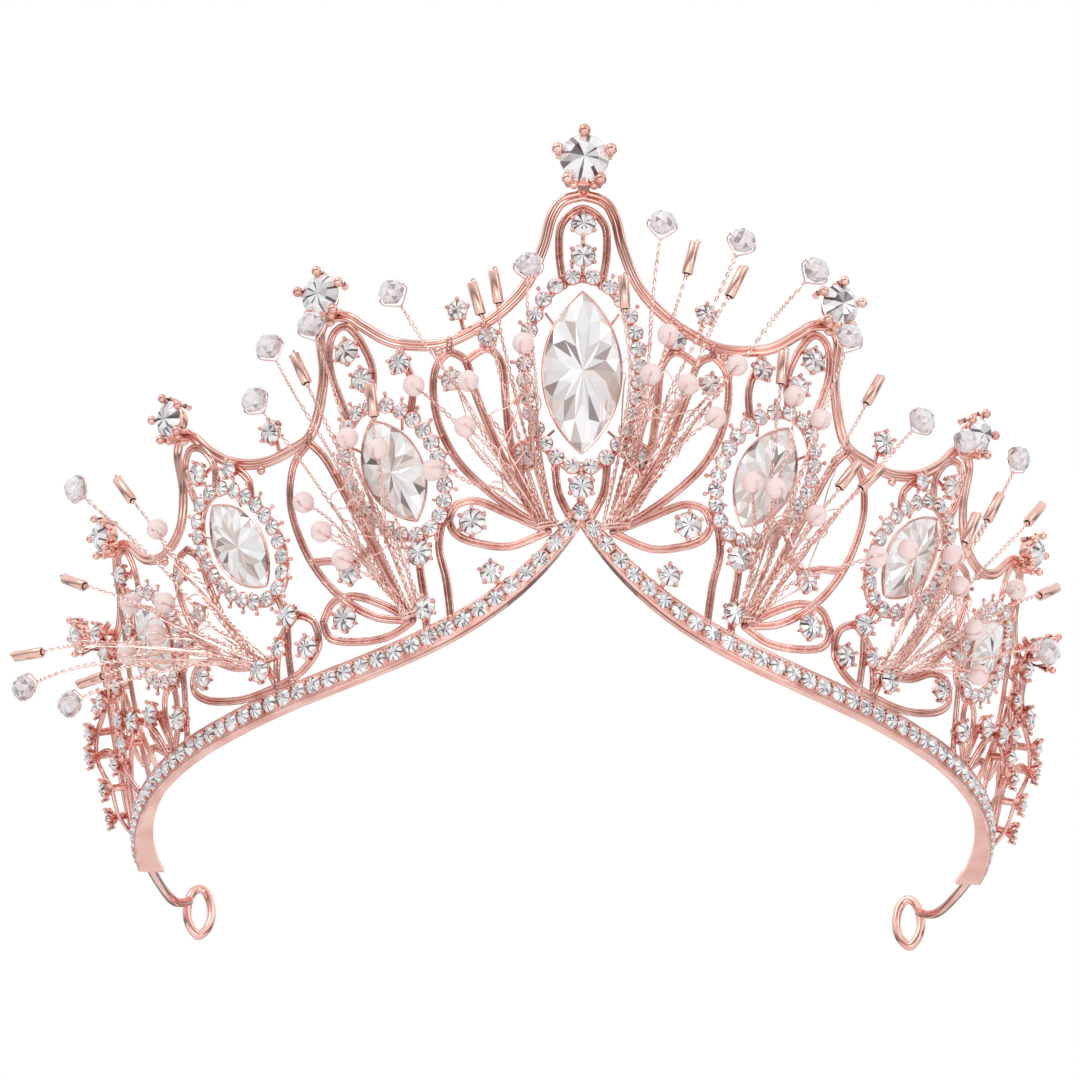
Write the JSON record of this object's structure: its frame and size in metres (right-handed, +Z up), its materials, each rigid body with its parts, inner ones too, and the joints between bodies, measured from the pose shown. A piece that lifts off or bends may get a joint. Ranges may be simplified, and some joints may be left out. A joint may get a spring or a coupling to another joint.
{
  "type": "bridal tiara",
  "caption": "open horseshoe bridal crown in rose gold, leaning outward, with stone panels, peaked rim, scroll leaves, wired bead sprays and an eye at each end",
  "frame": {"origin": "middle of the whole crown seen from above, on the plane of the band's flat underside", "axes": "+Z up the crown, -Y to the front where the band comes to a point, +X to the right of the front view"},
  "size_m": [0.1726, 0.1331, 0.0841],
  "materials": {
    "rose_gold": "polished rose gold plating",
    "spray_wire": "thin twisted wire, bright rose gold",
    "bugle": "metallic lined glass tube",
    "rhinestone": "clear brilliant cut, foiled behind",
    "drop_stone": "clear faceted pointed oval, foiled behind",
    "crystal": "pale pink faceted crystal",
    "pink_glass": "milky pale pink, semi gloss"
  },
  "bodies": {
    "tiara": {"base_band": "rose_gold", "band_stones": "rhinestone", "top_rim": "rose_gold", "end_loop_left": "rose_gold", "end_loop_right": "rose_gold", "centre_panel_frame": "rose_gold", "panel_2_left_frame": "rose_gold", "panel_2_right_frame": "rose_gold", "panel_3_left_frame": "rose_gold", "panel_3_right_frame": "rose_gold", "panel_4_left_frame": "rose_gold", "panel_4_right_frame": "rose_gold", "leaf_a_left": "rose_gold", "leaf_a_right": "rose_gold", "leaf_b_left": "rose_gold", "leaf_b_right": "rose_gold", "leaf_c_left": "rose_gold", "leaf_c_right": "rose_gold", "tail_left": "rose_gold", "tail_right": "rose_gold", "peak_1_setting": "rose_gold", "peak_2_left_setting": "rose_gold", "peak_2_right_setting": "rose_gold", "peak_3_left_setting": "rose_gold", "peak_3_right_setting": "rose_gold", "peak_4_settings": "rose_gold", "peak_5_settings": "rose_gold", "peak_stones": "rhinestone", "centre_marquise": "drop_stone", "marquise_2_left": "drop_stone", "marquise_2_right": "drop_stone", "marquise_3_pair": "drop_stone", "marquise_4_pair": "drop_stone", "halo_stones": "rhinestone", "accent_cups": "rose_gold", "accent_stones": "rhinestone", "spray_a_left": "spray_wire", "spray_a_right": "spray_wire", "spray_b_left": "spray_wire", "spray_b_right": "spray_wire", "spray_c_left": "spray_wire", "spray_c_right": "spray_wire", "pink_beads": "pink_glass", "bugle_tubes": "bugle"},
    "crystal_1_bead": {"crystal_1": "crystal"},
    "crystal_2_bead": {"crystal_2": "crystal"},
    "crystal_3_bead": {"crystal_3": "crystal"},
    "crystal_4_bead": {"crystal_4": "crystal"},
    "crystal_5_bead": {"crystal_5": "crystal"},
    "crystal_6_bead": {"crystal_6": "crystal"},
    "crystal_7_bead": {"crystal_7": "crystal"},
    "crystal_8_bead": {"crystal_8": "crystal"},
    "crystal_9_bead": {"crystal_9": "crystal"},
    "crystal_10_bead": {"crystal_10": "crystal"},
    "crystal_11_bead": {"crystal_11": "crystal"},
    "crystal_12_bead": {"crystal_12": "crystal"},
    "crystal_13_bead": {"crystal_13": "crystal"},
    "crystal_14_bead": {"crystal_14": "crystal"},
    "crystal_15_bead": {"crystal_15": "crystal"},
    "crystal_16_bead": {"crystal_16": "crystal"}
  },
  "joints": [
    {"name": "crystal_1_spin", "type": "hinge", "parent": "tiara", "child": "crystal_1_bead", "pos_m": [-0.0268, -0.05681, 0.058], "axis": [0.8037, -0.2804, 0.5248], "continuous": true},
    {"name": "crystal_2_spin", "type": "hinge", "parent": "tiara", "child": "crystal_2_bead", "pos_m": [-0.00557, -0.06205, 0.0604], "axis": [0.9955, -0.0941, -0.0113], "continuous": true},
    {"name": "crystal_3_spin", "type": "hinge", "parent": "tiara", "child": "crystal_3_bead", "pos_m": [0.01517, -0.06345, 0.0676], "axis": [0.9893, 0.1308, -0.0652], "continuous": true},
    {"name": "crystal_4_spin", "type": "hinge", "parent": "tiara", "child": "crystal_4_bead", "pos_m": [0.02781, -0.06057, 0.0664], "axis": [0.9089, 0.253, -0.3314], "continuous": true},
    {"name": "crystal_5_spin", "type": "hinge", "parent": "tiara", "child": "crystal_5_bead", "pos_m": [0.03965, -0.05672, 0.0636], "axis": [0.7591, 0.326, -0.5635], "continuous": true},
    {"name": "crystal_6_spin", "type": "hinge", "parent": "tiara", "child": "crystal_6_bead", "pos_m": [-0.04592, -0.0463, 0.054], "axis": [0.7811, -0.5102, 0.3599], "continuous": true},
    {"name": "crystal_7_spin", "type": "hinge", "parent": "tiara", "child": "crystal_7_bead", "pos_m": [-0.04808, -0.04252, 0.0464], "axis": [0.7008, -0.5033, 0.5056], "continuous": true},
    {"name": "crystal_8_spin", "type": "hinge", "parent": "tiara", "child": "crystal_8_bead", "pos_m": [-0.03928, -0.05262, 0.0544], "axis": [0.8704, -0.4531, 0.1928], "continuous": true},
    {"name": "crystal_9_spin", "type": "hinge", "parent": "tiara", "child": "crystal_9_bead", "pos_m": [0.045, -0.05265, 0.054], "axis": [0.8731, 0.4514, -0.1844], "continuous": true},
    {"name": "crystal_10_spin", "type": "hinge", "parent": "tiara", "child": "crystal_10_bead", "pos_m": [0.05748, -0.03996, 0.0464], "axis": [0.64, 0.5085, -0.576], "continuous": true},
    {"name": "crystal_11_spin", "type": "hinge", "parent": "tiara", "child": "crystal_11_bead", "pos_m": [-0.07776, -0.01106, 0.0472], "axis": [0.3564, -0.7257, 0.5886], "continuous": true},
    {"name": "crystal_12_spin", "type": "hinge", "parent": "tiara", "child": "crystal_12_bead", "pos_m": [-0.08425, -0.0112, 0.0108], "axis": [-0.0223, 0.049, 0.9986], "continuous": true},
    {"name": "crystal_13_spin", "type": "hinge", "parent": "tiara", "child": "crystal_13_bead", "pos_m": [-0.07706, -0.00792, 0.0096], "axis": [-0.0414, 0.0907, 0.995], "continuous": true},
    {"name": "crystal_14_spin", "type": "hinge", "parent": "tiara", "child": "crystal_14_bead", "pos_m": [0.0745, -0.02584, 0.0476], "axis": [0.5824, 0.7649, -0.2752], "continuous": true},
    {"name": "crystal_15_spin", "type": "hinge", "parent": "tiara", "child": "crystal_15_bead", "pos_m": [0.06465, -0.03589, 0.045], "axis": [0.7217, 0.6899, 0.0556], "continuous": true},
    {"name": "crystal_16_spin", "type": "hinge", "parent": "tiara", "child": "crystal_16_bead", "pos_m": [0.08088, -0.00427, 0.0238], "axis": [0.1435, 0.34, -0.9294], "continuous": true}
  ]
}
